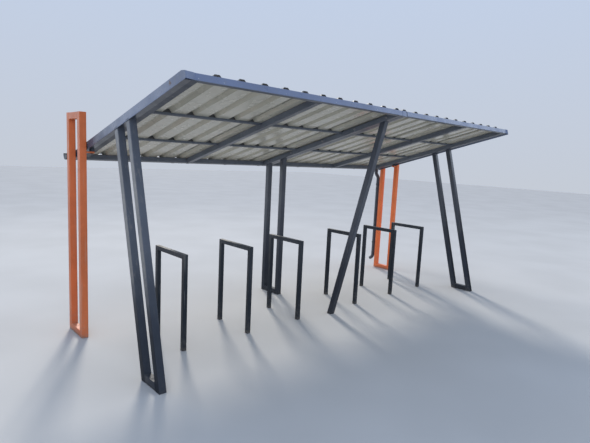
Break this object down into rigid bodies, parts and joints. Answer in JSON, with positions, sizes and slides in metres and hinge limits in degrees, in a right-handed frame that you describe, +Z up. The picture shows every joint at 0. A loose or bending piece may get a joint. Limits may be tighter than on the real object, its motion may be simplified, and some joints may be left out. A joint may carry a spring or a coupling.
{
  "type": "bike shelter",
  "caption": "Open-sided bike shelter: sloping ribbed metal roof on steel box-section frames, with inverted-U bike racks, rear gutter and downpipe.",
  "frame": {"origin": "centre of the footprint's bounding box, at ground level", "axes": "+Z up, +X along the length to the right seen from the front, +Y to the low rear side with the gutter; the high open front faces -Y"},
  "size_m": [4.933, 2.1996, 2.2714],
  "materials": {
    "steel_coat": "anthracite powder coat, satin",
    "orange_coat": "orange powder coat, satin",
    "roof_sheet": "coated steel sheet, semi-gloss",
    "flashing": "anthracite coated sheet, satin",
    "gutter_metal": "anthracite coated sheet, semi-gloss",
    "downpipe_coat": "anthracite powder coat, satin",
    "rack_coat": "dark powder coat, satin"
  },
  "bodies": {
    "root": {"left_end_posts": "steel_coat", "left_end_foot_rail": "steel_coat", "right_end_posts": "steel_coat", "right_end_foot_rail": "steel_coat", "middle_rear_posts": "steel_coat", "middle_foot_rail": "steel_coat", "middle_front_strut": "steel_coat", "left_end_head_rail": "steel_coat", "right_end_head_rail": "steel_coat", "left_end_rafter": "steel_coat", "left_intermediate_rafter": "steel_coat", "centre_rafter_left": "steel_coat", "centre_rafter_right": "steel_coat", "right_intermediate_rafter": "steel_coat", "right_end_rafter": "steel_coat", "front_beams": "steel_coat", "rear_beams": "steel_coat", "front_purlins": "steel_coat", "rear_purlins": "steel_coat", "left_corner_posts": "orange_coat", "left_corner_rails": "orange_coat", "right_corner_posts": "orange_coat", "right_corner_rails": "orange_coat", "left_roof_bracket": "orange_coat", "right_roof_bracket": "orange_coat", "roof_sheet_left": "roof_sheet", "roof_sheet_right": "roof_sheet", "front_flashing": "flashing", "left_verge_flashing": "flashing", "right_verge_flashing": "flashing", "gutter": "gutter_metal", "downpipe": "downpipe_coat", "downpipe_clamps": "downpipe_coat", "bike_rack_1": "rack_coat", "bike_rack_2": "rack_coat", "bike_rack_3": "rack_coat", "bike_rack_4": "rack_coat", "bike_rack_5": "rack_coat", "bike_rack_6": "rack_coat"}
  },
  "joints": []
}
